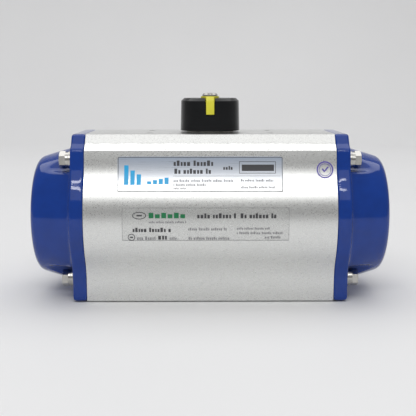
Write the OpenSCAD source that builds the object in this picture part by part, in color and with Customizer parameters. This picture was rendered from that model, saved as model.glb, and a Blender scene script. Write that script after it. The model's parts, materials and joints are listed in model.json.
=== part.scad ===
// Rotary pneumatic actuator, quarter turn, rack and pinion, spring return.
// Millimetres. The origin is on the pinion axis at the valve mounting face, +Z is up,
// +X runs along the cylinder and -Y is the front, where the labels are.

/* [Housing] */
// Length of the extruded housing between the end caps
body_len = 161.5; // [156:0.5:175]
// Height from the valve mounting face to the top face
body_h = 109.5; // [108:0.5:112]
// Radius of the cylinder bore
bore_r = 44; // [43.5:0.1:44.2]
// Height of the bore axis above the mounting face
bore_z = 54; // [53.5:0.5:54.5]
// Outer radius of the belly around the bore
belly_r = 48.6; // [48.4:0.1:49]
// Half depth of the foot
foot_y = 37.5; // [36.5:0.5:38.5]
// Rear land, where the air ports and the travel stops are
land_y = 55; // [54:0.5:58]

/* [End caps] */
// Thickness of the flange
flange_t = 9.25; // [8:0.25:10]
// Height of the dome beyond the flange
dome_h = 29.7; // [28:0.1:32]
// Radius of the dome where it leaves the flange
dome_r = 46.5; // [46:0.1:47]
// Drop of the dome's axis below the bore axis
dome_drop = 0.5; // [0:0.25:1.5]
// Bolt position from the bore axis, across
bolt_y = 30; // [29.5:0.25:30.5]
// Bolt position from the bore axis, up and down
bolt_z = 39; // [38.5:0.25:39.5]

/* [Drive] */
// Gear module of the rack and the pinion
gear_m = 1.5; // [1.3:0.05:1.5]
// Teeth on the pinion, a multiple of four
teeth = 20; // [16:4:20]
// Width across the square drive socket
square_w = 17; // [14:1:17]
// Thickness of the piston disc
piston_t = 18; // [17:0.5:18]
// Turn of the pinion between its stops, in degrees
turn = 90; // [80:1:90]

/* [Springs] */
// Springs in the outer ring behind each piston, besides the middle one
ring_springs = 5; // [3:1:5]
// Mean radius of a spring's coil
coil_r = 8; // [7:0.5:8]
// Radius of the spring wire
wire_r = 1.1; // [0.8:0.1:1.1]
// Turns of each spring
turns = 8; // [6:1:8]

/* [Indicator] */
// Radius of the indicator cap at its foot
cap_r = 20; // [18:0.05:20.2]
// Height of the indicator cap
cap_h = 21.7; // [21:0.1:22.5]

/* [Hidden] */
$fn = 96;
eps = 0.01;

// Clearances: a running fit, a loose fit and the gap under a label
run_gap = 0.05;
loose = 0.3;
film_gap = 0.05;

// Housing outline, as half depths and heights
half_len = body_len / 2;
crown_y = 27;
crown_drop = 5.65;
ledge_y = 31;
shoulder_r = 2;
side_y = 36.2;
side_z = body_h - 10.65;
side_tilt = 9.9;
side_blend = 44;
foot_blend = 30;
land_z = [36, 90];
rebate_y = 3;
rebate_z = 0.9;

// Blend between the foot and the belly: its centre and the height where it meets the belly
foot_c = [foot_y + foot_blend,
          bore_z - sqrt(pow(belly_r + foot_blend, 2) - pow(foot_y + foot_blend, 2))];
low_angle = atan2(foot_c[1] - bore_z, foot_c[0]);

// Blend between the leaning side and the belly: the centre lies along a line beside the side
side_n = [cos(side_tilt), sin(side_tilt)];
side_d = [sin(side_tilt), -cos(side_tilt)];
side_p = [side_y, side_z - bore_z] + side_blend * side_n;
side_b = side_p * side_d;
side_s = -side_b - sqrt(side_b * side_b - side_p * side_p + pow(belly_r + side_blend, 2));
side_c = side_p + side_s * side_d + [0, bore_z];
side_low = side_c - side_blend * side_n;
high_angle = atan2(side_c[1] - bore_z, side_c[0]);
side_meet = bore_z + belly_r * sin(high_angle);

// Bolts of the end caps
bolt_r = 3;
bolt_len = 25;
bolt_af = 10;
bolt_head = 4;
flat_t = 1.6;
spring_t = 1.8;
scoop_r = 8;
BOLTS = [for (s = [-1, 1], t = [-1, 1]) [bolt_y * s, bore_z + bolt_z * t]];

// End caps
cap_x = half_len + flange_t;
tip_x = cap_x + dome_h;
cap_grow = 1;
cavity_r = 37.5;
cavity_end = 23;
dome_shoulder = 6;
dome_shoulder_c = [dome_r - 12.4, dome_h - 8.9];
dome_crown = 0.0024;
gasket_t = 1.9;
gasket_w = 1.3;

// Air passage to the spring chambers
way_y = 46.5;
way_z = bore_z + 17.5;
way_r = 2.25;
port_x = 12;
port_r = 5.9;
port_depth = 9.5;
valve_bolt = [16, 12];
valve_bolt_r = 2.1;

// Pinion
pitch_r = gear_m * teeth / 2;
tip_r = pitch_r + gear_m;
root_r = pitch_r - 1.25 * gear_m;
base_r = pitch_r * cos(20);
backlash = 0.14;
gear_z = [36, 72];
hub_r = 15;
neck_r = 12.95;
shaft_r = 12;
stub_r = 7.5;
stub_z = body_h + 20;
seal_r = 0.95;

// Stop cam and travel stops
cam_z = [75, 83];
cam_r = 27;
cam_hub_r = 17;
stop_x = 19;
stop_y = 13;
stop_half = 5.5;
stop_r = 4;
stop_end = land_y + 11;
stop_mid = (cam_z[0] + cam_z[1]) / 2;

// Pistons
piston_x = 33;
piston_r = 43.5;
glide_r = bore_r - run_gap;
arm_end = 30.5;
arm_half = 15;
rack_pitch = PI * gear_m;
rack_teeth = 9;
rack_root = pitch_r + 1.25 * gear_m;
rack_tip = pitch_r - 0.93 * gear_m;
pocket_depth = 8;
ring_seal_r = 2;

// Springs
spring_ring_r = 24;
seat_r = 9.6;
seat_t = 1.95;
spigot_r = 6.3;
spring_x0 = piston_x + piston_t - pocket_depth + seat_t + eps;
spring_x1 = half_len + flange_t + cavity_end - seat_t - eps;
SPRINGS = concat([[0, 0]],
    [for (i = [0:ring_springs - 1]) spring_ring_r * [sin(360 / ring_springs * i), cos(360 / ring_springs * i)]]);

// Indicator
cap_z = body_h + 1.1;
cap_top = cap_z + cap_h;
insert_w = 5.4;
insert_hub_r = 6.2;
insert_z = cap_top - 10.7;
insert_top = cap_top + 1.2;

// Labels on the front: lowest and highest point, and the left and right end
plate_z = [73.85, 95.65];
plate_x = [-59.3, 46.3];
data_z = [42.95, 64.35];
data_x = [-56.1, 49.9];
sticker_c = [73.2, 87.35];
sticker_r = 5.4;
film_t = 0.4;

// ---------- outlines, drawn in the Y Z plane ----------

function arc(c, r, a, b, n) = [for (i = [0:n]) c + r * [cos(a + (b - a) * i / n), sin(a + (b - a) * i / n)]];

// The crown and the shoulder of one side, down to the leaning side
function crown(g) = concat(
    [[crown_y - 1 + g, body_h], [crown_y + g, body_h - 0.4]],
    [[ledge_y + g, body_h - crown_drop], [ledge_y - 0.1 + g, body_h - crown_drop - 0.6],
     [ledge_y + 0.6 + g, body_h - crown_drop - 0.5]],
    arc([side_y - shoulder_r + g, side_z], shoulder_r, 62, side_tilt, 5)
);

// The belly from an angle down to the foot, whose outer edge stands clear of the ground
function belly(g, start) = concat(
    arc([0, bore_z], belly_r + g, start, low_angle, 24),
    arc(foot_c, foot_blend - g, 180 + low_angle, 180, 10),
    [[foot_y + g, rebate_z], [foot_y - rebate_y, rebate_z], [foot_y - rebate_y - 0.1, 0]]
);

function front_side(g) = concat(
    crown(g), arc(side_c, side_blend - g, 180 + side_tilt, 180 + high_angle, 8), belly(g, high_angle));

function rear_side(g) = concat(
    crown(g),
    [[side_low[0] - (land_z[1] - side_low[1]) * tan(side_tilt) + g, land_z[1] + g],
     [land_y - 2, land_z[1] + g], [land_y + g, land_z[1] - 2],
     [land_y + g, land_z[0] + 2], [land_y - 2, land_z[0] - g]],
    belly(g, asin((land_z[0] - g - bore_z) / (belly_r + g)))
);

// Outline of the housing, widened by g for the end caps
module outline(g = 0) {
    front = front_side(g);
    polygon(concat(rear_side(g), [for (i = [len(front) - 1:-1:0]) [-front[i][0], front[i][1]]]));
}

module along_x(from, length) {
    translate([from, 0, 0]) rotate([90, 0, 90]) linear_extrude(length) children();
}

// A round bar along X, centred on [y, z]
module bar_x(from, to, r, at = [0, bore_z]) {
    translate([from, at[0], at[1]]) rotate([0, 90, 0]) cylinder(r = r, h = to - from);
}

module bar_y(from, to, r, x, z) {
    translate([x, from, z]) rotate([-90, 0, 0]) cylinder(r = r, h = to - from);
}

module bar_z(from, to, r, at = [0, 0]) {
    translate([at[0], at[1], from]) cylinder(r = r, h = to - from);
}

module tube_x(from, to, r_in, r_out, at = [0, bore_z]) {
    difference() {
        bar_x(from, to, r_out, at);
        bar_x(from - 1, to + 1, r_in, at);
    }
}

module tube_z(from, to, r_in, r_out) {
    difference() {
        bar_z(from, to, r_out);
        bar_z(from - 1, to + 1, r_in);
    }
}

// A round seal ring about Z
module ring_z(z, r_mid, r) {
    translate([0, 0, z]) rotate_extrude() translate([r_mid, 0]) circle(r = r, $fn = 32);
}

// The right-hand side is the left-hand side turned half round the pinion axis
module turned() rotate([0, 0, 180]) children();

// ---------- housing ----------

module body() color("silver") difference() {
    along_x(-half_len, body_len) outline();
    bar_x(-half_len - 1, half_len + 1, bore_r);
    // pinion holes: a bearing seat inside and a closer seal seat outside
    bar_z(-1, 5, hub_r + 0.5);
    bar_z(4, bore_z, hub_r + 2 + 0.02);
    bar_z(body_h - 5, body_h + 1, shaft_r + 0.5);
    bar_z(bore_z, body_h - 4, shaft_r + 2 + 0.02);
    // threaded holes for the end caps
    for (b = BOLTS, s = [-1, 1]) bar_x(s * half_len - 16, s * half_len + 16, bolt_r + run_gap, b);
    // valve mounting holes, M8 on a 70 mm circle and M6 on a 50 mm circle
    for (a = [45:90:315]) {
        bar_z(-1, 13, 3.4, 35 * [cos(a), sin(a)]);
        bar_z(-1, 9.5, 2.5, 25 * [cos(a), sin(a)]);
    }
    // accessory holes in the top face, M5 on 80 x 30 mm
    for (s = [-1, 1], t = [-1, 1]) bar_z(body_h - 8, body_h + 1, 2.1, [40 * s, 15 * t]);
    // air ports: the left one opens into the bore, the right one into the long passage
    for (s = [-1, 1]) bar_y(land_y - port_depth, land_y + 1, port_r, port_x * s, bore_z);
    bar_y(bore_r - 3, land_y, 3, -port_x, bore_z);
    bar_z(bore_z + 2, way_z, 1.6, [port_x - 3, way_y + 0.5]);
    bar_x(-half_len - 1, half_len + 1, way_r, [way_y, way_z]);
    for (s = [-1, 1], t = [-1, 1])
        bar_y(land_y - 8, land_y + 1, valve_bolt_r, valve_bolt[0] * s, bore_z + valve_bolt[1] * t);
    // threads for the travel stops
    for (s = [-1, 1]) bar_y(20, land_y + 1, stop_r + 0.02, stop_x * s, stop_mid);
}

// ---------- end caps, drawn for the right-hand end ----------

// Half section: a leaning side, a round shoulder and a flat crown
function dome_outline() = concat(
    [[0, 0], [dome_r, 0]],
    arc(dome_shoulder_c, dome_shoulder, 17, 80, 8),
    [for (i = [4:-1:0]) [7.2 * i, dome_h - dome_crown * pow(7.2 * i, 2)]]
);

// The gasket's line goes round the bore, inside the bolts, and round the air passage
module gasket_area(g) {
    translate([0, bore_z]) circle(r = bore_r + 0.3 + g);
    translate([way_y, way_z]) circle(r = way_r + 1.2 + g);
}

module end_cap() difference() {
    union() {
        along_x(half_len, flange_t) outline(cap_grow);
        translate([cap_x, 0, bore_z - dome_drop]) rotate([0, 90, 0])
            rotate_extrude($fn = 180) polygon(dome_outline());
    }
    // space for the springs
    translate([half_len, 0, bore_z]) rotate([0, 90, 0]) rotate_extrude()
        polygon([[0, -1], [cavity_r, -1], [cavity_r, flange_t + cavity_end - 9],
                 [cavity_r - 3.5, flange_t + cavity_end], [0, flange_t + cavity_end]]);
    for (b = BOLTS) {
        bar_x(half_len - 1, cap_x + 1, bolt_r + loose, b);
        bar_x(cap_x, tip_x + 1, scoop_r, b);
    }
    // gasket groove, and the air way from the passage to the spring space
    along_x(half_len - 1, gasket_t + 1.1) difference() {
        gasket_area(gasket_w + 0.1);
        gasket_area(0);
    }
    along_x(half_len - 1, 3) translate([0, bore_z]) rotate(atan2(way_z - bore_z, way_y))
        translate([cavity_r - 2, -way_r])
            square([norm([way_y, way_z - bore_z]) - cavity_r + 2 + way_r, 2 * way_r]);
}

// The left cap is the mirror image, because the air passage runs straight through
module left_end_cap() color([0.08, 0.2, 0.55]) mirror([1, 0, 0]) end_cap();
module right_end_cap() color([0.08, 0.2, 0.55]) end_cap();

module cap_gasket() along_x(half_len, gasket_t) difference() {
    gasket_area(gasket_w + 0.05);
    gasket_area(0.05);
}
module left_cap_gasket() color("dimgray") mirror([1, 0, 0]) cap_gasket();
module right_cap_gasket() color("dimgray") cap_gasket();

module hex_bolt(from) {
    difference() {
        translate([from, 0, 0]) rotate([0, 90, 0]) cylinder(d = bolt_af / cos(30), h = bolt_head, $fn = 6);
        // chamfer on the head
        translate([from + bolt_head, 0, 0]) rotate([0, 90, 0]) rotate_extrude()
            polygon([[bolt_af / 2 - 0.2, 1], [bolt_af, 1], [bolt_af, -2.2], [bolt_af / 2 - 0.2, 0]]);
    }
    translate([from - bolt_len, 0, 0]) rotate([0, 90, 0]) cylinder(r = bolt_r, h = bolt_len + eps);
}

module cap_bolts() for (b = BOLTS) translate([0, b[0], b[1]]) hex_bolt(cap_x + flat_t + spring_t);
module left_cap_bolts() color("gainsboro") turned() cap_bolts();
module right_cap_bolts() color("gainsboro") cap_bolts();

// Spring washers are cut through at one side
module spring_washers() for (b = BOLTS) difference() {
    tube_x(cap_x + flat_t, cap_x + flat_t + spring_t, bolt_r + 0.1, 5.1, b);
    translate([cap_x + flat_t - 1, b[0] - 0.5, b[1]]) rotate([0, 18, 0]) cube([spring_t + 3, 0.7, 9]);
}
module left_spring_washers() color("lightgray") turned() spring_washers();
module right_spring_washers() color("lightgray") spring_washers();

module flat_washers() for (b = BOLTS) tube_x(cap_x, cap_x + flat_t, bolt_r + 0.2, 5.5, b);
module left_flat_washers() color("silver") turned() flat_washers();
module right_flat_washers() color("silver") flat_washers();

// ---------- pinion ----------

function inv(a) = tan(a) * 180 / PI - a;
function half_tooth(r) = 90 / teeth - backlash / 4 / pitch_r * 180 / PI + inv(20) - inv(acos(min(1, base_r / r)));
FLANK = concat([root_r], [for (i = [0:4]) base_r + (tip_r - base_r) * i / 4]);

// Involute gear with a space on the +Y and -Y side
module gear_outline() polygon([
    for (i = [0:teeth - 1], k = [0:2 * len(FLANK) - 1])
        let (rise = k < len(FLANK), r = FLANK[rise ? k : 2 * len(FLANK) - 1 - k],
             a = 360 / teeth * (i + 0.5) + (rise ? -1 : 1) * half_tooth(r))
        r * [cos(a), sin(a)]
]);

module pinion() color("slategray") difference() {
    union() {
        bar_z(0.5, gear_z[0] + eps, hub_r);
        translate([0, 0, gear_z[0]]) linear_extrude(gear_z[1] - gear_z[0]) gear_outline();
        bar_z(gear_z[1] - eps, 96.5, neck_r);
        bar_z(96, body_h + 4.5, shaft_r);
        bar_z(body_h + 4, stub_z, stub_r);
    }
    // square drive socket
    translate([-square_w / 2, -square_w / 2, 0]) cube([square_w, square_w, 19.5]);
    // grooves for the two seals and the circlip
    tube_z(1.2, 3.3, hub_r - 1.5, hub_r + 1);
    tube_z(body_h - 3.2, body_h - 1.1, shaft_r - 1.5, shaft_r + 1);
    tube_z(body_h + 2.6, body_h + 3.9, shaft_r - 1, shaft_r + 1);
    // flats and thread of the top stub
    for (s = [-1, 1]) translate([s * (stub_r - 1) - (s < 0 ? 3 : 0), -stub_r, body_h + 8])
        cube([3, 2 * stub_r, 13]);
    bar_z(stub_z - 14, stub_z + 1, 3 + run_gap);
    // flat that drives the cam
    translate([-neck_r, -neck_r - 1, cam_z[0] - 0.05]) cube([2 * neck_r, 2.5, cam_z[1] - cam_z[0] + 0.1]);
}

// Each flat meets one travel stop square on, at one end of the turn
module stop_cam() color("darkgray") translate([0, 0, cam_z[0]]) linear_extrude(cam_z[1] - cam_z[0]) difference() {
    union() {
        circle(r = cam_hub_r);
        intersection() {
            circle(r = cam_r);
            union() {
                translate([-stop_x - stop_half, 0]) square([stop_x + stop_half, stop_y]);
                rotate(-turn) square([stop_x + stop_half, stop_y]);
            }
        }
    }
    difference() {
        circle(r = neck_r + run_gap);
        translate([-neck_r - 1, -neck_r - 1]) square([2 * neck_r + 2, 2.45]);
    }
}

module pinion_circlip() color("dimgray") difference() {
    tube_z(body_h + 2.65, body_h + 3.85, shaft_r - 0.95, shaft_r + 2.6);
    translate([0, -3, body_h]) cube([20, 6, 6]);
}

module pinion_top_washer() color("lightgray") tube_z(body_h + 1.55, body_h + 2.55, shaft_r + run_gap, shaft_r + 3.6);
module pinion_thrust_disc() color("ivory") tube_z(body_h, body_h + 1.5, shaft_r + loose, shaft_r + 3.8);
module pinion_top_bearing() color("ivory") tube_z(body_h - 11.5, body_h - 4, shaft_r + run_gap, shaft_r + 2);
module pinion_bottom_bearing() color("ivory") tube_z(4, 12, hub_r + run_gap, hub_r + 2);
module pinion_top_seal() color("dimgray") ring_z(body_h - 2.15, shaft_r - 0.5, seal_r);
module pinion_bottom_seal() color("dimgray") ring_z(2.25, hub_r - 0.5, seal_r);

// ---------- pistons, drawn for the left-hand side, whose rack passes behind the pinion ----------

// Teeth point towards the pinion, and one of them stands at x = 0 at rest
function rack_points() = concat(
    [[arm_end, rack_root], [arm_end, bore_r + 1], [-piston_x, bore_r + 1], [-piston_x, rack_root]],
    [for (k = [-2:rack_teeth - 3], e = [-1, 1], far = e < 0 ? [0, 1] : [1, 0])
        let (y = far == 1 ? rack_tip : rack_root,
             half = rack_pitch / 4 - backlash / 4 + (y - pitch_r) * tan(20))
        [k * rack_pitch + e * half, y]]
);

module piston() difference() {
    union() {
        bar_x(-piston_x - piston_t, -piston_x, piston_r);
        intersection() {
            bar_x(-piston_x - 1, arm_end + 1, piston_r);
            translate([0, 0, bore_z - arm_half]) linear_extrude(2 * arm_half) polygon(rack_points());
        }
        // web that carries the arm
        intersection() {
            bar_x(-piston_x - 1, -piston_x + 5, piston_r);
            translate([-piston_x - 1, rack_root + 3, bore_z - arm_half - 4]) cube([5, bore_r, 2 * arm_half + 8]);
        }
    }
    // grooves for the seal and the guide ring
    tube_x(-piston_x - 15.3, -piston_x - 10.7, piston_r - 3.6, bore_r + 1);
    tube_x(-piston_x - 8.05, -piston_x - 1.95, piston_r - 2.05, bore_r + 1);
    // pockets for the spring ends
    for (c = SPRINGS) bar_x(-piston_x - piston_t - 1, -piston_x - piston_t + pocket_depth, seat_r + 0.4,
                            [c[0], bore_z + c[1]]);
    // recess for the back pad
    difference() {
        translate([2, 20, bore_z - 9]) cube([24, 40, 18]);
        bar_x(1, 27, glide_r - 1.5);
    }
}
module left_piston() color("lightsteelblue") piston();
module right_piston() color("lightsteelblue") turned() piston();

module piston_seal() translate([-piston_x - 13, 0, bore_z]) rotate([0, 90, 0])
    rotate_extrude() translate([glide_r - ring_seal_r, 0]) circle(r = ring_seal_r, $fn = 32);
module left_piston_seal() color("dimgray") piston_seal();
module right_piston_seal() color("dimgray") turned() piston_seal();

module guide_ring() tube_x(-piston_x - 8, -piston_x - 2, piston_r - 2, glide_r);
module left_guide_ring() color("ivory") guide_ring();
module right_guide_ring() color("ivory") turned() guide_ring();

module back_pad() intersection() {
    tube_x(2.05, 25.95, glide_r - 1.45, glide_r);
    translate([0, 20, bore_z - 8.95]) cube([30, 40, 17.9]);
}
module left_back_pad() color("ivory") back_pad();
module right_back_pad() color("ivory") turned() back_pad();

// ---------- springs, drawn for the right-hand side ----------

// A coil along X as one closed tube: a five-sided ring at every 36 degrees of each turn
module coil(from, to) {
    steps = turns * 10;
    sides = 5;
    lift = to - from - 2 * wire_r;
    points = [for (i = [0:steps], k = [0:sides - 1])
        let (a = 36 * i, b = 360 / sides * k, r = coil_r + wire_r * cos(b))
        [from + wire_r + lift * i / steps + wire_r * sin(b), r * cos(a), r * sin(a)]];
    skin = [for (i = [0:steps - 1], k = [0:sides - 1], half = [0, 1])
        let (near = i * sides, far = near + sides, next = (k + 1) % sides)
        half == 0 ? [near + k, far + k, far + next] : [near + k, far + next, near + next]];
    ends = [[for (k = [0:sides - 1]) k], [for (k = [sides - 1:-1:0]) steps * sides + k]];
    polyhedron(points, concat(skin, ends), convexity = 10);
}

module springs() for (c = SPRINGS) translate([0, c[0], bore_z + c[1]]) coil(spring_x0, spring_x1);
module left_springs() color("goldenrod") turned() springs();
module right_springs() color("goldenrod") springs();

module spring_seat(from, way) {
    bar_x(min(from, from + way * seat_t), max(from, from + way * seat_t), seat_r, [0, 0]);
    bar_x(min(from, from + way * (seat_t + 4)), max(from, from + way * (seat_t + 4)), spigot_r, [0, 0]);
}
module inner_seats() for (c = SPRINGS)
    translate([0, c[0], bore_z + c[1]]) spring_seat(spring_x0 - seat_t - eps, 1);
module outer_seats() for (c = SPRINGS)
    translate([0, c[0], bore_z + c[1]]) spring_seat(spring_x1 + seat_t + eps, -1);
module left_inner_spring_seats() color("ivory") turned() inner_seats();
module right_inner_spring_seats() color("ivory") inner_seats();
module left_outer_spring_seats() color("ivory") turned() outer_seats();
module right_outer_spring_seats() color("ivory") outer_seats();

// ---------- travel stops ----------

module travel_stop_screws() color("gainsboro") for (s = [-1, 1]) difference() {
    bar_y(stop_y + 0.15, stop_end, stop_r, stop_x * s, stop_mid);
    translate([stop_x * s, stop_end - 4, stop_mid]) rotate([-90, 0, 0]) cylinder(d = 4 / cos(30), h = 5, $fn = 6);
}

module stop_lock_nuts() color("gainsboro") for (s = [-1, 1]) difference() {
    translate([stop_x * s, land_y + 2, stop_mid]) rotate([-90, 0, 0])
        cylinder(d = 13 / cos(30), h = 6.5, $fn = 6);
    bar_y(land_y, land_y + 10, stop_r + 0.02, stop_x * s, stop_mid);
}

module stop_seal_washers() color("dimgray") for (s = [-1, 1]) difference() {
    bar_y(land_y, land_y + 2, 6.6, stop_x * s, stop_mid);
    bar_y(land_y - 1, land_y + 3, stop_r + 0.02, stop_x * s, stop_mid);
}

// ---------- indicator ----------

module indicator_cap() color([0.1, 0.1, 0.11]) difference() {
    rotate_extrude() polygon([[0, cap_z], [cap_r, cap_z], [cap_r - 0.45, cap_top - 1.9],
                              [cap_r - 2.4, cap_top], [0, cap_top]]);
    // hollow over the circlip, then the socket for the pinion's stub
    bar_z(cap_z - 1, cap_z + 4.6, shaft_r + 4.3);
    difference() {
        bar_z(cap_z, stub_z + 0.05, stub_r + run_gap);
        for (s = [-1, 1]) translate([s * (stub_r - 1 + run_gap) - (s < 0 ? 3 : 0), -stub_r - 1, cap_z + 7.5])
            cube([3, 2 * stub_r + 2, 20]);
    }
    // seat of the insert: a channel across the top with a deep slot at each end
    translate([-insert_w / 2 - 0.65, -cap_r - 1, stub_z + 0.05]) cube([insert_w + 1.3, 2 * cap_r + 2, 5]);
    for (s = [-1, 1])
        translate([-insert_w / 2 - 0.65, (s * (cap_r + 14.5) - cap_r + 12.5) / 2, insert_z - 0.4])
            cube([insert_w + 1.3, cap_r - 12.5, 20]);
    bar_z(stub_z + 0.05, cap_top + 1, insert_hub_r + 0.4);
}

// A yellow bar along Y that turns down into both slots, with a round hub under the screw
module indicator_insert() color([0.86, 0.84, 0.2]) intersection() {
    difference() {
        union() {
            translate([-insert_w / 2, -cap_r, stub_z + 0.1]) cube([insert_w, 2 * cap_r, cap_top - stub_z + 0.5]);
            for (s = [-1, 1]) translate([-insert_w / 2, (s * (cap_r + 14) - cap_r + 14) / 2, insert_z])
                cube([insert_w, cap_r - 14, cap_top - insert_z + 0.6]);
            bar_z(stub_z + 0.1, insert_top, insert_hub_r);
        }
        bar_z(stub_z, insert_top + 1, 3 + loose);
    }
    rotate_extrude() polygon([[0, insert_z - 1], [cap_r - 0.5, insert_z - 1], [cap_r - 0.75, cap_top - 1.6],
                              [cap_r - 2.2, insert_top], [0, insert_top]]);
}

module indicator_screw() color("gainsboro") difference() {
    union() {
        bar_z(stub_z - 12, insert_top + eps, 3);
        translate([0, 0, insert_top]) rotate_extrude()
            polygon([[0, 0], [5.3, 0], [5.2, 1], [4.5, 1.8], [3, 2.2], [0, 2.3]]);
    }
    for (a = [0, 90]) rotate([0, 0, a]) translate([-2.6, -0.5, insert_top + 0.9]) cube([5.2, 1, 3]);
}

// ---------- labels ----------

// Half depth of the housing at a height above the belly's middle
function face_y(z) = z > side_low[1] ? side_low[0] - (z - side_low[1]) * tan(side_tilt)
    : z > side_meet ? side_c[0] - sqrt(pow(side_blend, 2) - pow(z - side_c[1], 2))
    : sqrt(pow(belly_r, 2) - pow(z - bore_z, 2));

// A thin sheet that follows the front of the housing between two heights
module film(z0, z1, x0, x1, thick) along_x(x0, x1 - x0) polygon(concat(
    [for (i = [0:16]) let (z = z0 + (z1 - z0) * i / 16) [-face_y(z) - film_gap, z]],
    [for (i = [16:-1:0]) let (z = z0 + (z1 - z0) * i / 16) [-face_y(z) - film_gap - thick, z]]
));

module rounded_front(x0, x1, z0, z1, r) rotate([90, 0, 0]) linear_extrude(belly_r + 5) {
    translate([x0 + r, z0]) square([x1 - x0 - 2 * r, z1 - z0]);
    translate([x0, z0 + r]) square([x1 - x0, z1 - z0 - 2 * r]);
    for (x = [x0 + r, x1 - r], z = [z0 + r, z1 - r]) translate([x, z]) circle(r = r, $fn = 32);
}

module nameplate() color([0.8, 0.82, 0.85]) intersection() {
    film(plate_z[0], plate_z[1], plate_x[0], plate_x[1], film_t);
    rounded_front(plate_x[0], plate_x[1], plate_z[0], plate_z[1], 2);
}

module data_label() color([0.85, 0.86, 0.85]) film(data_z[0], data_z[1], data_x[0], data_x[1], film_t / 2);

module inspection_sticker() color([0.4, 0.35, 0.7]) intersection() {
    film(sticker_c[1] - sticker_r, sticker_c[1] + sticker_r, sticker_c[0] - sticker_r, sticker_c[0] + sticker_r,
         film_t / 2);
    bar_y(-belly_r, 0, sticker_r, sticker_c[0], sticker_c[1]);
}

body();
left_end_cap();
right_end_cap();
left_cap_gasket();
right_cap_gasket();
left_cap_bolts();
right_cap_bolts();
left_spring_washers();
right_spring_washers();
left_flat_washers();
right_flat_washers();
pinion();
stop_cam();
pinion_circlip();
pinion_top_washer();
pinion_thrust_disc();
pinion_top_bearing();
pinion_bottom_bearing();
pinion_top_seal();
pinion_bottom_seal();
left_piston();
right_piston();
left_piston_seal();
right_piston_seal();
left_guide_ring();
right_guide_ring();
left_back_pad();
right_back_pad();
left_springs();
right_springs();
left_inner_spring_seats();
right_inner_spring_seats();
left_outer_spring_seats();
right_outer_spring_seats();
travel_stop_screws();
stop_lock_nuts();
stop_seal_washers();
indicator_cap();
indicator_insert();
indicator_screw();
nameplate();
data_label();
inspection_sticker();
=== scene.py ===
"""Rotary pneumatic actuator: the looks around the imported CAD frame.

Metres, in the CAD frame: origin on the pinion axis at the valve mounting face, +Z up,
+X along the cylinder, -Y the front with the labels.
"""
import json
import math

import bpy
import numpy as np
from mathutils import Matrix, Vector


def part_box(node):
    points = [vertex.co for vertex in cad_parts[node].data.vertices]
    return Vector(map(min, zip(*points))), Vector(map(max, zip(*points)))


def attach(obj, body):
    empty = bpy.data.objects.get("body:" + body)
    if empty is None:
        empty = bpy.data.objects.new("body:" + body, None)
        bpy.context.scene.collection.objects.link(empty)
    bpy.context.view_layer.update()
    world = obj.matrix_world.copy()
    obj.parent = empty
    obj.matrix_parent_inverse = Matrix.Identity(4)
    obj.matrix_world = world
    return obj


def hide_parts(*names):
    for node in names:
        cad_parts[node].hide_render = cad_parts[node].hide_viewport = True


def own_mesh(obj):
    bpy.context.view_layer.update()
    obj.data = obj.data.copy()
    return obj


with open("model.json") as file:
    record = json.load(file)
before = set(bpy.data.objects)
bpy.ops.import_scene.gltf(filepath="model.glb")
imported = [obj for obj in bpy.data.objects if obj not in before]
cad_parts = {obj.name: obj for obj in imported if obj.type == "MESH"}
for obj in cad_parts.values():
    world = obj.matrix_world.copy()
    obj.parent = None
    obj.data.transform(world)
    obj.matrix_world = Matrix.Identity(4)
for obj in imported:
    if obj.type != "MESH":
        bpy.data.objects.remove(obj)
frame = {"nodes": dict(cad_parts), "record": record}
NODES = frame["nodes"]
MM = 0.001

CAMERA_AT = (-0.0042, -0.5367, 0.1395)
CAMERA_DOWN, CAMERA_YAW = 8.77, -0.45      # degrees
CAMERA_LENS, SENSOR_WIDTH = 67.8, 36       # millimetres
LENS_SHIFT = -0.0048                       # a share of the sensor's width
LIGHT_TARGET = (0, 0, 0.05)
ROOM_GREY, ROOM_STRENGTH = 0.5, 0.58


def corners(box):
    return [[float(v) for v in corner] for corner in box]


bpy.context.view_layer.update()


# ---------- camera, lights and stage ----------

def add_camera():
    camera = bpy.data.objects.new("camera", bpy.data.cameras.new("camera"))
    bpy.context.scene.collection.objects.link(camera)
    camera.data.lens = CAMERA_LENS
    camera.data.sensor_width = SENSOR_WIDTH
    camera.data.shift_x = LENS_SHIFT
    camera.location = CAMERA_AT
    camera.rotation_euler = (math.radians(90 - CAMERA_DOWN), 0, math.radians(CAMERA_YAW))
    camera.data.clip_start = 0.01
    bpy.context.scene.camera = camera


def add_area(name, at, size, power):
    light = bpy.data.lights.new(name, "AREA")
    light.shape = "RECTANGLE"
    light.size, light.size_y = size
    light.energy = power
    lamp = bpy.data.objects.new(name, light)
    bpy.context.scene.collection.objects.link(lamp)
    lamp.location = at
    aim = np.array(LIGHT_TARGET) - np.array(at)
    lamp.rotation_euler = (math.atan2(math.hypot(aim[0], aim[1]), -aim[2]), 0, math.atan2(-aim[0], aim[1]))


def add_stage(look):
    """A floor that rises behind the object in one smooth sweep."""
    bend, back, half, front = 0.5, 1.3, 3.0, -2.5
    profile = [(front, 0.0), (back, 0.0)]
    for i in range(1, 17):
        a = math.pi / 2 * i / 16
        profile.append((back + bend * math.sin(a), bend * (1 - math.cos(a))))
    profile.append((back + bend, 3.0))
    points = [(x, y, z) for y, z in profile for x in (-half, half)]
    faces = [(2 * i, 2 * i + 1, 2 * i + 3, 2 * i + 2) for i in range(len(profile) - 1)]
    floor = add_mesh("floor_sweep", points, faces, look)


# ---------- meshes ----------

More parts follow.
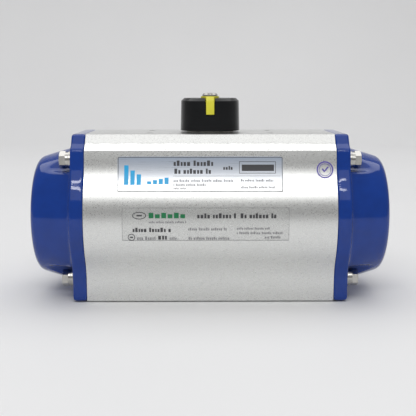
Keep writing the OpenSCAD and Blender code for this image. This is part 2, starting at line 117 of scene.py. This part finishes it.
def add_mesh(name, points, faces, look, smooth=True):
    """A mesh object from points in metres."""
    mesh = bpy.data.meshes.new(name)
    mesh.from_pydata([tuple(map(float, p)) for p in points], [], [tuple(map(int, f)) for f in faces])
    mesh.materials.append(look)
    mesh.polygons.foreach_set("use_smooth", [smooth] * len(mesh.polygons))
    mesh.update()
    piece = bpy.data.objects.new(name, mesh)
    bpy.context.scene.collection.objects.link(piece)
    return piece


def round_edges(name, look, width=0.3, steps=2, angle=30):
    """Gives a CAD node its material, smooth shading and small rounded edges."""
    piece = NODES[name]
    mesh = piece.data
    mesh.materials.clear()
    mesh.materials.append(look)
    if "custom_normal" in mesh.attributes:
        mesh.attributes.remove(mesh.attributes["custom_normal"])
    if "sharp_edge" in mesh.attributes:
        mesh.attributes.remove(mesh.attributes["sharp_edge"])
    mesh.polygons.foreach_set("use_smooth", [True] * len(mesh.polygons))
    weld = piece.modifiers.new("weld", "WELD")
    weld.merge_threshold = 1e-6
    flat = piece.modifiers.new("flat", "DECIMATE")
    flat.decimate_type = "DISSOLVE"
    flat.angle_limit = math.radians(0.3)
    bevel = piece.modifiers.new("edges", "BEVEL")
    bevel.width = width * MM
    bevel.segments = steps
    bevel.limit_method = "ANGLE"
    bevel.angle_limit = math.radians(angle)
    bevel.harden_normals = True
    bevel.miter_outer = "MITER_ARC"
    return piece


# ---------- end caps ----------

BORE_Z = 54.0                    # height of the bore axis, in millimetres, as all sizes in this section
HALF_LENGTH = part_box("body")[1].x / MM
FLANGE = 9.25
CAP_FACE = HALF_LENGTH + FLANGE
DOME_R = 46.5
DOME_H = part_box("right_end_cap")[1].x / MM - CAP_FACE
BOLTS = [(30 * s, BORE_Z + 39 * t) for s in (-1, 1) for t in (-1, 1)]
SCOOP_R = 8.0
BOLT_HOLE_R = 3.3
DOME_DROP = 0.5
SHOULDER_R, SHOULDER_BELOW, SHOULDER_INSIDE = 6, 8.9, 12.4
CAVITY_R, CAVITY_DEPTH = 37.5, 23
TAPER_DEPTH, TAPER_SLOPE, TAPER_SCALE = 14, 2.57, 0.36
CELL = 0.72                      # of the grid that the castings are worked out on
GRID_LOW, GRID_HIGH = (-55.0, -4.0), (61.0, 112.5)
TABLE_STEP = 0.25


def cut_corners(points, rounds):
    """Chaikin's corner cutting on an open line, which keeps both of its ends."""
    points = np.array(points, float)
    for _ in range(rounds):
        near, far = points[:-1], points[1:]
        inner = np.empty((2 * len(near), 2))
        inner[0::2], inner[1::2] = 0.75 * near + 0.25 * far, 0.25 * near + 0.75 * far
        points = np.vstack([points[:1], inner[1:-1], points[-1:]])
    return points


def polygon_distance(points, u, v):
    """Signed distance to a closed polygon, negative inside, for arrays u and v."""
    best = np.full(u.shape, np.inf)
    inside = np.zeros(u.shape, bool)
    for (ua, va), (ub, vb) in zip(points, np.roll(points, -1, axis=0)):
        du, dv = ub - ua, vb - va
        along = np.clip(((u - ua) * du + (v - va) * dv) / max(du * du + dv * dv, 1e-12), 0, 1)
        best = np.minimum(best, np.hypot(u - ua - along * du, v - va - along * dv))
        if abs(dv) > 1e-12:
            inside ^= ((va > v) != (vb > v)) & (u < ua + (v - va) / dv * du)
    return np.where(inside, -best, best)


def blur(field, passes):
    """Softens a field along each axis, which rounds its edges and fills its inner corners."""
    for _ in range(passes):
        for axis in range(3):
            ahead = np.take(field, list(range(1, field.shape[axis])) + [field.shape[axis] - 1], axis)
            behind = np.take(field, [0] + list(range(field.shape[axis] - 1)), axis)
            field = 0.25 * ahead + 0.5 * field + 0.25 * behind
    return field


def sample(field, points):
    """Trilinear values of a field at points given in cells."""
    cell = np.clip(np.floor(points).astype(int), 0, np.array(field.shape) - 2)
    part = points - cell
    total = 0
    for i in (0, 1):
        for j in (0, 1):
            for k in (0, 1):
                weight = (np.abs(1 - i - part[:, 0]) * np.abs(1 - j - part[:, 1])
                          * np.abs(1 - k - part[:, 2]))
                total = total + weight * field[cell[:, 0] + i, cell[:, 1] + j, cell[:, 2] + k]
    return total


def surface_net(field, origin, step):
    """The zero surface of a field as quads: one point in each cell that it crosses."""
    solid = field < 0
    corners_in = sum(solid[i:i - 1 or None, j:j - 1 or None, k:k - 1 or None].astype(int)
                     for i in (0, 1) for j in (0, 1) for k in (0, 1))
    crossed = (corners_in > 0) & (corners_in < 8)
    number = np.full(crossed.shape, -1)
    number[crossed] = np.arange(crossed.sum())
    points = np.argwhere(crossed) + 0.5
    slope = np.stack(np.gradient(field), -1)
    for _ in range(6):
        value = sample(field, points)
        steep = np.stack([sample(slope[..., a], points) for a in range(3)], -1)
        shift = -value[:, None] * steep / np.maximum((steep ** 2).sum(-1, keepdims=True), 1e-6)
        points = points + np.clip(shift, -0.35, 0.35)
    faces = []
    for axis in range(3):
        other = [a for a in range(3) if a != axis]
        here, there = [slice(None)] * 3, [slice(None)] * 3
        here[axis], there[axis] = slice(0, -1), slice(1, None)
        change = solid[tuple(here)].astype(int) - solid[tuple(there)].astype(int)
        at = np.argwhere(change != 0)
        at = at[(at[:, other[0]] > 0) & (at[:, other[1]] > 0)
                & (at[:, other[0]] < crossed.shape[other[0]]) & (at[:, other[1]] < crossed.shape[other[1]])]
        sign = change[tuple(at.T)]
        ring = []
        for back_a, back_b in ((0, 0), (1, 0), (1, 1), (0, 1)):
            cell = at.copy()
            cell[:, other[0]] -= back_a
            cell[:, other[1]] -= back_b
            ring.append(number[tuple(cell.T)])
        ring = np.stack(ring, -1)
        turn = (sign > 0) == (axis != 1)
        faces.append(np.where(turn[:, None], ring, ring[:, ::-1]))
    return np.array(origin) + points * step, np.vstack(faces)


def cap_outline():
    """The flange's outline from the CAD node: the points on both of its faces, in order round the bore."""
    co = np.array([v.co for v in NODES["right_end_cap"].data.vertices]) / MM
    front = {(round(y, 2), round(z, 2)) for x, y, z in co if abs(x - CAP_FACE) < 0.02}
    back = {(round(y, 2), round(z, 2)) for x, y, z in co if abs(x - HALF_LENGTH) < 0.02}
    rim = [p for p in front & back if min(math.hypot(p[0] - y, p[1] - z) for y, z in BOLTS) > 5]
    rim.sort(key=lambda p: math.atan2(p[1] - BORE_Z, p[0]))
    return np.array(rim)


def dome_profile():
    """Half outline of the dome as (height beyond the flange, radius)."""
    shoulder = [(DOME_H - SHOULDER_BELOW + SHOULDER_R * math.sin(a),
                 DOME_R - SHOULDER_INSIDE + SHOULDER_R * math.cos(a))
                for a in np.radians([17, 33, 49, 65, 80])]
    crown = [(DOME_H - 0.0024 * r * r, r) for r in (28.8, 21.6, 14.4, 7.2, 0)]
    side = [(-5, DOME_R + 1.5), (0, DOME_R)]
    line = cut_corners(side + shoulder + crown, 3)
    return np.vstack([line, line[::-1] * (1, -1)])


def min_of(fields):
    best = fields[0]
    for field in fields[1:]:
        best = np.minimum(best, field)
    return best


def add_end_caps(look):
    """Cast caps: flange and dome run together in soft fillets, with a round scoop over each bolt."""
    low = np.array([HALF_LENGTH - 4 * CELL + 0.31, *GRID_LOW])
    count = np.ceil((np.array([CAP_FACE + DOME_H + 3, *GRID_HIGH]) - low) / CELL).astype(int)
    x = (low[0] + CELL * np.arange(count[0]))[:, None, None]
    y, z = np.meshgrid(low[1] + CELL * np.arange(count[1]), low[2] + CELL * np.arange(count[2]), indexing="ij")
    flange = polygon_distance(cap_outline(), y, z)[None]
    flange = np.maximum(flange, np.maximum(x - CAP_FACE, HALF_LENGTH - x))
    radii = np.arange(0, 85, TABLE_STEP)
    heights = x[:, 0, 0] - CAP_FACE
    table = polygon_distance(dome_profile(), *np.meshgrid(heights, radii, indexing="ij"))
    place = np.broadcast_to(np.hypot(y, z - BORE_Z + DOME_DROP)[None] / TABLE_STEP, tuple(count))
    cell = np.minimum(place.astype(int), len(radii) - 2)
    row = np.arange(count[0])[:, None, None]
    dome = table[row, cell] * (1 - place + cell) + table[row, cell + 1] * (place - cell)
    from_bolts = min_of([np.hypot(y - b[0], z - b[1])[None] for b in BOLTS])
    dome = np.maximum(np.maximum(dome, SCOOP_R - from_bolts), CAP_FACE - 3 - x)
    wall = np.hypot(y, z - BORE_Z)[None] - CAVITY_R
    taper = (TAPER_SLOPE * wall + x - CAP_FACE - TAPER_DEPTH) * TAPER_SCALE
    cavity = np.maximum(np.maximum(wall, x - CAP_FACE - CAVITY_DEPTH), taper)
    body = blur(np.maximum(np.minimum(flange, dome), -cavity), 3)
    body = np.maximum(body, -np.maximum(from_bolts - BOLT_HOLE_R, x - CAP_FACE - 1))
    points, faces = surface_net(body, low, CELL)
    # the back face stays flat against the housing
    points[:, 0] = np.maximum(points[:, 0], HALF_LENGTH)
    for side, name in ((1, "right_end_cap"), (-1, "left_end_cap")):
        placed = points * (side * MM, MM, MM)
        piece = add_mesh(name.replace("end_cap", "cap_casting"), placed, faces[:, ::side], look)
        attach(piece, "housing")
        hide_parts(name)


# ---------- springs ----------

COIL_R, WIRE_R, COIL_TURNS = 8.0, 1.1, 8
TURN_STEPS, WIRE_SIDES = 24, 10
SEAT_CIRCLE_R = 24
SPRING_SEATS = [(0.0, 0.0)] + [(SEAT_CIRCLE_R * math.sin(a), SEAT_CIRCLE_R * math.cos(a))
                               for a in (math.radians(72 * i) for i in range(5))]


def add_springs(look):
    """Round wire coils in the place of the CAD springs."""
    steps, ring = TURN_STEPS * COIL_TURNS, WIRE_SIDES
    for side, name in ((1, "right_springs"), (-1, "left_springs")):
        low, high = corners(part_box(name))
        start, end = sorted(abs(v / MM) for v in (low[0], high[0]))
        points, faces = [], []
        for y, z in SPRING_SEATS:
            first = len(points)
            for i in range(steps + 1):
                turn = 2 * math.pi * i / TURN_STEPS
                along = start + WIRE_R + (end - start - 2 * WIRE_R) * i / steps
                for k in range(ring):
                    a = 2 * math.pi * k / ring
                    r = COIL_R + WIRE_R * math.cos(a)
                    x = along + WIRE_R * math.sin(a)
                    points.append((side * x * MM, side * (y + r * math.cos(turn)) * MM,
                                   (BORE_Z + z + r * math.sin(turn)) * MM))
            for i in range(steps):
                for k in range(ring):
                    a, b = first + i * ring + k, first + i * ring + (k + 1) % ring
                    faces.append((a, a + ring, b + ring, b))
            faces.append([first + k for k in range(ring)])
            faces.append([first + steps * ring + k for k in range(ring - 1, -1, -1)])
        piece = add_mesh(name.replace("springs", "coil_springs"), points, faces, look)
        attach(piece, "housing")
        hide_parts(name)
        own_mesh(piece)


# ---------- print on the labels ----------

def front_line(name):
    """Front surface of a label as heights and depths in millimetres."""
    co = np.array([v.co for v in NODES[name].data.vertices]) / MM
    heights = sorted({round(float(z), 2) for z in co[:, 2]})
    return [(z, float(co[np.abs(co[:, 2] - z) < 0.02][:, 1].min())) for z in heights]


class Print:
    """Flat shapes in one ink, laid on the curved front of a label and thick enough to be solid."""

    def __init__(self, name, label, slot, look, lift=0.03):
        self.name, self.slot, self.look, self.lift = name, slot, look, lift
        heights, depths = zip(*front_line(label))
        self.place = lambda z: float(np.interp(z, heights, depths))
        self.points, self.faces = [], []

    def strip(self, rails):
        """A closed band between two rows of (x, z) points."""
        first, n = len(self.points), len(rails)
        for depth in (self.lift, -0.02):
            for pair in rails:
                for x, z in pair:
                    self.points.append((x * MM, (self.place(z) - depth) * MM, z * MM))
        back = first + 2 * n
        for i in range(n - 1):
            a, b = first + 2 * i, back + 2 * i
            self.faces += [(a, a + 2, a + 3, a + 1), (b, b + 1, b + 3, b + 2),
                           (a, b, b + 2, a + 2), (a + 1, a + 3, b + 3, b + 1)]
        a, b = first + 2 * (n - 1), back + 2 * (n - 1)
        self.faces += [(first, first + 1, back + 1, back), (a, b, b + 1, a + 1)]

    def bar(self, x0, x1, z0, z1):
        rows = max(1, round((z1 - z0) / 1.4))
        heights = [z0 + (z1 - z0) * i / rows for i in range(rows + 1)]
        self.strip([((x1, z), (x0, z)) for z in heights])

    def frame(self, x0, x1, z0, z1, width):
        self.bar(x0, x1, z0, z0 + width)
        self.bar(x0, x1, z1 - width, z1)
        self.bar(x0, x0 + width, z0 + width, z1 - width)
        self.bar(x1 - width, x1, z0 + width, z1 - width)

    def marks(self, x0, x1, z0, z1, seed):
        """A line of small blocks that stands in for wording."""
        step, x, i = 0.62 * (z1 - z0), x0, 0
        while x + 0.4 * step < x1:
            wide = step * (0.75 + 0.5 * ((seed + 7 * i) % 5) / 5)
            tall = (z1 - z0) * (0.72 if (seed + 3 * i) % 4 else 1.0)
            self.bar(x, min(x + wide * 0.78, x1), z0, z0 + tall)
            i += 1
            x += wide + (0.8 * step if (i + seed) % 6 == 0 else 0.12 * step)

    def ring(self, x, z, rx, rz, width, start=0, end=360):
        n = max(6, int((end - start) / 12))
        turns = [math.radians(start + (end - start) * i / n) for i in range(n + 1)]
        self.strip([((x + (rx - width) * math.cos(a), z + (rz - width) * math.sin(a)),
                     (x + rx * math.cos(a), z + rz * math.sin(a))) for a in turns])

    def done(self):
        piece = add_mesh(self.name, self.points, self.faces, self.look, smooth=False)
        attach(piece, "housing")


def add_prints():
    grey, blue, pale = INKS["grey_ink"], INKS["sky_ink"], INKS["pale_ink"]
    ink = Print("nameplate_print_grey", "nameplate", "label_foil", grey)
    ink.frame(-59.0, 46.0, 74.15, 95.35, 0.35)
    ink.marks(-23.5, 1.7, 89.8, 93.2, 1)
    ink.marks(-23, 0.5, 84.9, 88.1, 4)
    ink.marks(8.2, 15.6, 87.4, 89.7, 2)
    ink.frame(18.3, 41.7, 85.1, 92.6, 0.3)
    ink.bar(20, 40.6, 86.6, 90.6)
    ink.done()
    ink = Print("nameplate_print_pale", "nameplate", "label_foil", pale)
    ink.bar(-23.9, 44.5, 83.4, 83.65)
    for line in ((-23.5, 14.5, 79.9, 81.5, 3), (-23.5, -2.3, 77.5, 79.0, 5), (-23.5, -15, 75.4, 76.7, 2),
                 (19.4, 40.1, 80.1, 81.6, 4), (19.4, 41, 76.0, 77.4, 1)):
        ink.marks(*line)
    ink.done()
    ink = Print("nameplate_print_blue", "nameplate", "label_foil", blue)
    for i, (low, high) in enumerate(((78.2, 90.2), (78.2, 87.0), (78.2, 84.6))):
        ink.bar(-55 + 4 * i, -52.2 + 4 * i, low, high)
    for i in range(4):
        ink.bar(-40.3 + 3.7 * i, -37.7 + 3.7 * i, 78.6, 80.3 + 0.75 * i)
    ink.done()
    ink = Print("data_print_grey", "data_label", "label_film", grey)
    ink.ring(-45.1, 59.35, 4.4, 2.35, 0.45)
    ink.bar(-46.8, -43.4, 58.9, 59.8)
    ink.ring(-50.2, 45.3, 2.3, 2.3, 0.4)
    ink.bar(-51.2, -49.2, 44.9, 45.7)
    for line in ((-8.4, 16, 57.6, 60.7, 2), (19, 41.8, 57.6, 60.7, 4),
                 (-49.3, -24.7, 48.8, 51.6, 1), (-33.2, -27.8, 43.8, 47.2, 3)):
        ink.marks(*line)
    ink.done()
    ink = Print("data_print_pale", "data_label", "label_film", pale)
    ink.frame(-56.0, 49.8, 43.05, 64.25, 0.18)
    for line in ((-39, -15.4, 54.5, 55.9, 2), (-46.7, -35, 43.6, 45.8, 3), (-26, -20.4, 43.7, 45.4, 2),
                 (-14.2, 10.5, 49.8, 51.6, 1), (-14, 12.6, 43.7, 45.5, 4), (16.7, 38, 50.3, 51.8, 2),
                 (16.7, 45.8, 47.3, 48.9, 5), (34.5, 44.4, 44.4, 46.0, 3)):
        ink.marks(*line)
    ink.done()
    ink = Print("data_print_green", "data_label", "label_film", INKS["green_ink"])
    for i in range(6):
        ink.bar(-39.1 + 4 * i, -36.1 + 4 * i, 57.7, 61.1 if i % 2 == 0 else 60.2)
    ink.done()
    ink = Print("sticker_print", "inspection_sticker", "label_film", INKS["violet_ink"])
    ink.ring(73.2, 87.35, 5.3, 5.3, 0.75)
    ink.ring(73.2, 87.35, 3.9, 3.9, 0.3)
    ink.strip([((71.2, 87.6), (71.8, 88.3)), ((72.7, 85.7), (72.8, 86.8)), ((75.6, 88.9), (75.0, 89.5))])
    ink.done()


# ---------- materials ----------

def new_look(name, colour, roughness, metallic=0.0, **sockets):
    look = bpy.data.materials.new(name)
    look.use_nodes = True
    shader = look.node_tree.nodes["Principled BSDF"]
    shader.inputs["Base Color"].default_value = (*colour, 1)
    shader.inputs["Roughness"].default_value = roughness
    shader.inputs["Metallic"].default_value = metallic
    for socket, value in sockets.items():
        shader.inputs[socket.replace("_", " ")].default_value = value
    return look


def grain(look, scale, stretch=(1, 1, 1), detail=3, kind="NOISE"):
    """Noise in object coordinates, in cycles a metre along each axis. Returns its output socket."""
    nodes, links = look.node_tree.nodes, look.node_tree.links
    place = nodes.new("ShaderNodeTexCoord")
    spread = nodes.new("ShaderNodeMapping")
    spread.inputs["Scale"].default_value = [scale * s for s in stretch]
    links.new(place.outputs["Object"], spread.inputs["Vector"])
    if kind == "NOISE":
        texture = nodes.new("ShaderNodeTexNoise")
        texture.inputs["Detail"].default_value = detail
        out = texture.outputs["Fac"]
    else:
        texture = nodes.new("ShaderNodeTexVoronoi")
        out = texture.outputs["Distance"]
    texture.inputs["Scale"].default_value = 1
    links.new(spread.outputs["Vector"], texture.inputs["Vector"])
    return out


def vary(look, source, socket, low, high, start=0.3, end=0.7):
    """Drives a number on the shader between two values."""
    nodes, links = look.node_tree.nodes, look.node_tree.links
    ramp = nodes.new("ShaderNodeMapRange")
    for key, value in zip(("From Min", "From Max", "To Min", "To Max"), (start, end, low, high)):
        ramp.inputs[key].default_value = value
    links.new(source, ramp.inputs["Value"])
    links.new(ramp.outputs["Result"], nodes["Principled BSDF"].inputs[socket])


def tint(look, source, dark, light, start=0.3, end=0.7):
    """Drives the base colour between two colours."""
    nodes, links = look.node_tree.nodes, look.node_tree.links
    ramp = nodes.new("ShaderNodeValToRGB")
    ramp.color_ramp.elements[0].position, ramp.color_ramp.elements[1].position = start, end
    ramp.color_ramp.elements[0].color = (*dark, 1)
    ramp.color_ramp.elements[1].color = (*light, 1)
    links.new(source, ramp.inputs["Fac"])
    links.new(ramp.outputs["Color"], nodes["Principled BSDF"].inputs["Base Color"])


def bump(look, layers):
    """Surface relief from one or more sources, each with its depth in millimetres."""
    nodes, links = look.node_tree.nodes, look.node_tree.links
    normal = None
    for source, depth in layers:
        relief = nodes.new("ShaderNodeBump")
        relief.inputs["Strength"].default_value = 1
        relief.inputs["Distance"].default_value = depth * MM
        links.new(source, relief.inputs["Height"])
        if normal:
            links.new(normal, relief.inputs["Normal"])
        normal = relief.outputs["Normal"]
    links.new(normal, nodes["Principled BSDF"].inputs["Normal"])


def aluminium_look():
    look = new_look("anodised_aluminium", (0.78, 0.785, 0.77), 0.3, 1)
    streaks = grain(look, 40, (1, 30, 30), 4)
    blast = grain(look, 1900, (0.6, 1, 1), 2)
    vary(look, blast, "Roughness", 0.26, 0.34)
    tint(look, blast, (0.7, 0.705, 0.69), (0.82, 0.825, 0.81), 0.3, 0.7)
    bump(look, [(streaks, 0.003), (blast, 0.004)])
    return look


def paint_look():
    look = new_look("blue_paint", (0.001, 0.036, 0.255), 0.06)
    peel = grain(look, 300, (1, 1, 1), 2)
    cloud = grain(look, 90, (1, 1, 1), 3)
    tint(look, cloud, (0.0008, 0.033, 0.235), (0.0015, 0.039, 0.275))
    vary(look, cloud, "Roughness", 0.045, 0.08)
    bump(look, [(peel, 0.01)])
    return look


def metal_look(name, colour, roughness, scratch=0.003):
    look = new_look(name, colour, roughness, 1)
    lines = grain(look, 900, (1, 1, 1), 3)
    stains = grain(look, 150, (1, 1, 1), 3)
    vary(look, lines, "Roughness", roughness * 0.8, roughness * 1.25)
    tint(look, stains, tuple(0.93 * c for c in colour), tuple(min(1, 1.04 * c) for c in colour))
    bump(look, [(lines, scratch)])
    return look


def cast_look():
    look = new_look("cast_aluminium", (0.62, 0.63, 0.64), 0.42, 1)
    skin = grain(look, 700, (1, 1, 1), 4)
    pits = grain(look, 500, (1, 1, 1), 0, "VORONOI")
    vary(look, skin, "Roughness", 0.36, 0.5)
    tint(look, skin, (0.58, 0.59, 0.6), (0.66, 0.67, 0.68))
    bump(look, [(skin, 0.015), (pits, 0.008)])
    return look


def plastic_look(name, colour, roughness, scale=1500, depth=0.006, **sockets):
    look = new_look(name, colour, roughness, 0, **sockets)
    skin = grain(look, scale, (1, 1, 1), 2)
    cloud = grain(look, 120, (1, 1, 1), 3)
    vary(look, cloud, "Roughness", roughness * 0.88, roughness * 1.12)
    tint(look, cloud, tuple(0.94 * c for c in colour), tuple(min(1, 1.04 * c) for c in colour))
    bump(look, [(skin, depth)])
    return look


def foil_look_painted_reflection():
    """Brushed foil whose colour runs from white at the bottom to blue-grey at the top: painted reflection, the
    white standing in for the softbox highlight on the lower face and the blue-grey for the dark room mirrored
    in the upper face.
    """
    look = new_look("label_foil", (0.7, 0.74, 0.8), 0.3, 0.35)
    low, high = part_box("nameplate")
    nodes, links = look.node_tree.nodes, look.node_tree.links
    place = nodes.new("ShaderNodeTexCoord")
    split = nodes.new("ShaderNodeSeparateXYZ")
    links.new(place.outputs["Object"], split.inputs["Vector"])
    height = nodes.new("ShaderNodeMapRange")
    height.inputs["From Min"].default_value = low.z
    height.inputs["From Max"].default_value = high.z
    links.new(split.outputs["Z"], height.inputs["Value"])
    # painted reflection: colour set by height, white low down for the highlight band, blue-grey high up for
    # the dark reflected room
    tint(look, height.outputs["Result"], (0.86, 0.87, 0.88), (0.42, 0.48, 0.58), 0.15, 0.95)
    lines = grain(look, 60, (1, 40, 60), 3)
    vary(look, lines, "Roughness", 0.26, 0.38)
    bump(look, [(lines, 0.002)])
    return look


def floor_look():
    look = new_look("floor_white", (0.8, 0.8, 0.805), 0.65)
    cloud = grain(look, 3, (1, 1, 1), 2)
    tint(look, cloud, (0.79, 0.79, 0.795), (0.81, 0.81, 0.815))
    return look


LOOKS = {
    "anodised_aluminium": aluminium_look(),
    "blue_paint": paint_look(),
    "black_rubber": plastic_look("black_rubber", (0.025, 0.024, 0.023), 0.6, 900, 0.012),
    "stainless_steel": metal_look("stainless_steel", (0.5, 0.49, 0.465), 0.2),
    "plated_steel": metal_look("plated_steel", (0.6, 0.6, 0.59), 0.26),
    "cast_aluminium": cast_look(),
    "spring_steel": metal_look("spring_steel", (0.16, 0.16, 0.165), 0.35, 0.006),
    "white_polymer": plastic_look("white_polymer", (0.8, 0.78, 0.72), 0.42, 1200, 0.005),
    "black_plastic": plastic_look("black_plastic", (0.003, 0.0035, 0.0045), 0.22, 2200, 0.004,
                                  Specular_IOR_Level=0.36),
    "yellow_plastic": plastic_look("yellow_plastic", (0.74, 0.69, 0.045), 0.38, 1500, 0.004),
    "label_foil": foil_look_painted_reflection(),
    "label_film": plastic_look("label_film", (0.72, 0.73, 0.72), 0.28, 900, 0.003),
}
LOOKS["label_film"].node_tree.nodes["Principled BSDF"].inputs["Alpha"].default_value = 0.08
INKS = {
    "grey_ink": plastic_look("grey_ink", (0.055, 0.055, 0.06), 0.45, 900, 0.002),
    "pale_ink": plastic_look("pale_ink", (0.3, 0.3, 0.31), 0.45, 900, 0.002),
    "sky_ink": plastic_look("sky_ink", (0.02, 0.42, 0.8), 0.4, 900, 0.002),
    "green_ink": plastic_look("green_ink", (0.012, 0.19, 0.07), 0.4, 900, 0.002),
    "violet_ink": plastic_look("violet_ink", (0.1, 0.07, 0.42), 0.4, 900, 0.002),
}

SLOT_OF = {s["node"]: s["material_slot"] for s in frame["record"]["subparts"]}
EDGE = {"body": 0.35, "pinion": 0.15, "stop_cam": 0.3, "indicator_cap": 0.35, "indicator_insert": 0.2,
        "indicator_screw": 0.12, "left_piston": 0.3, "right_piston": 0.3, "nameplate": 0.08,
        "data_label": 0.04, "inspection_sticker": 0.04}
for node in NODES:
    round_edges(node, LOOKS[SLOT_OF[node]], EDGE.get(node, 0.2))

add_end_caps(LOOKS["blue_paint"])
add_springs(LOOKS["spring_steel"])
add_prints()

add_camera()
add_stage(floor_look())
add_area("front_softbox", (0, -1.12, 1.68), (3.0, 2.15), 16)
add_area("key_strip", (-0.25, -1.3, 1.35), (1.4, 0.12), 6)
add_area("overhead", (0, 0.7, 2.0), (3.0, 1.6), 24)
world = bpy.context.scene.world or bpy.data.worlds.new("room")
bpy.context.scene.world = world
world.use_nodes = True
world.node_tree.nodes["Background"].inputs["Color"].default_value = (ROOM_GREY, ROOM_GREY, ROOM_GREY, 1)
world.node_tree.nodes["Background"].inputs["Strength"].default_value = ROOM_STRENGTH
bpy.context.scene.view_settings.view_transform = "Standard"
